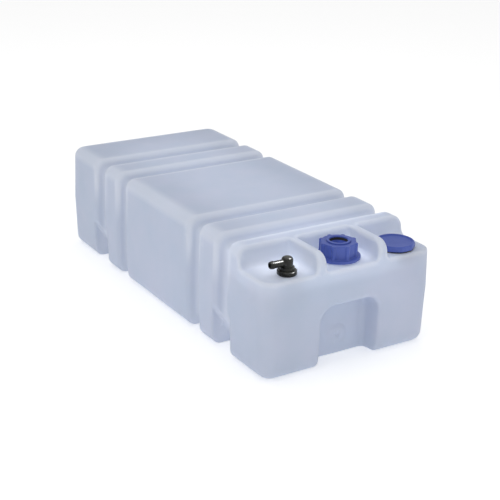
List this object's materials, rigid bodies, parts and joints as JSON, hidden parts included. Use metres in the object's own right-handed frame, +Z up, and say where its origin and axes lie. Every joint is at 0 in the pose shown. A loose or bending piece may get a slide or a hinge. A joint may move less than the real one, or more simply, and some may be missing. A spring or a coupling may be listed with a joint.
{
  "type": "fresh water tank",
  "caption": "Flat blow-moulded water tank with strap grooves, a stepped front shelf, a screw filler, an inspection cap and a swivelling hose elbow with dip tube.",
  "frame": {"origin": "centre of the tank's underside", "axes": "+Z up, Y along the length with the shelf and fittings at -Y, X across the width"},
  "size_m": [0.36, 0.8, 0.22],
  "materials": {
    "tank_plastic": "milky translucent polyethylene, satin",
    "blue_plastic": "semi-gloss moulded polypropylene",
    "black_plastic": "semi-gloss moulded nylon",
    "rubber": "matte moulded rubber",
    "tube_plastic": "satin polyethylene",
    "screen_steel": "woven stainless mesh"
  },
  "bodies": {
    "tank": {"tank_shell": "tank_plastic", "elbow_washer": "rubber", "elbow_base": "black_plastic", "elbow_retainer": "black_plastic", "elbow_locknut": "black_plastic", "dip_tube": "tube_plastic", "strainer": "tube_plastic", "strainer_screen": "screen_steel"},
    "filler_insert": {"filler_sleeve": "blue_plastic", "filler_gasket": "rubber", "filler_hose_seal": "rubber"},
    "filler_screw": {"filler_collar": "blue_plastic"},
    "cap_seal": {"inspection_gasket": "rubber"},
    "cap_screw": {"inspection_cap": "blue_plastic"},
    "elbow": {"elbow_body": "black_plastic", "elbow_o_ring": "rubber"}
  },
  "joints": [
    {"name": "filler_rise", "type": "slide", "parent": "tank", "child": "filler_insert", "axis": [0, 0, 1], "range_m": [0, 0.0101]},
    {"name": "filler_turn", "type": "hinge", "parent": "filler_insert", "child": "filler_screw", "pos_m": [0, -0.351, 0.2], "axis": [0, 0, 1], "range_deg": [0, 720]},
    {"name": "cap_rise", "type": "slide", "parent": "tank", "child": "cap_seal", "axis": [0, 0, 1], "range_m": [0, 0.0101]},
    {"name": "cap_turn", "type": "hinge", "parent": "cap_seal", "child": "cap_screw", "pos_m": [0.122, -0.357, 0.19], "axis": [0, 0, 1], "range_deg": [0, 720]},
    {"name": "elbow_swivel", "type": "hinge", "parent": "tank", "child": "elbow", "pos_m": [-0.119, -0.369, 0.2], "axis": [0, 0, 1], "continuous": true}
  ],
  "couplings": [
    {"joint": "filler_rise", "follows": "filler_turn", "m_per_rad": 0.00079577},
    {"joint": "cap_rise", "follows": "cap_turn", "m_per_rad": 0.00079577}
  ]
}
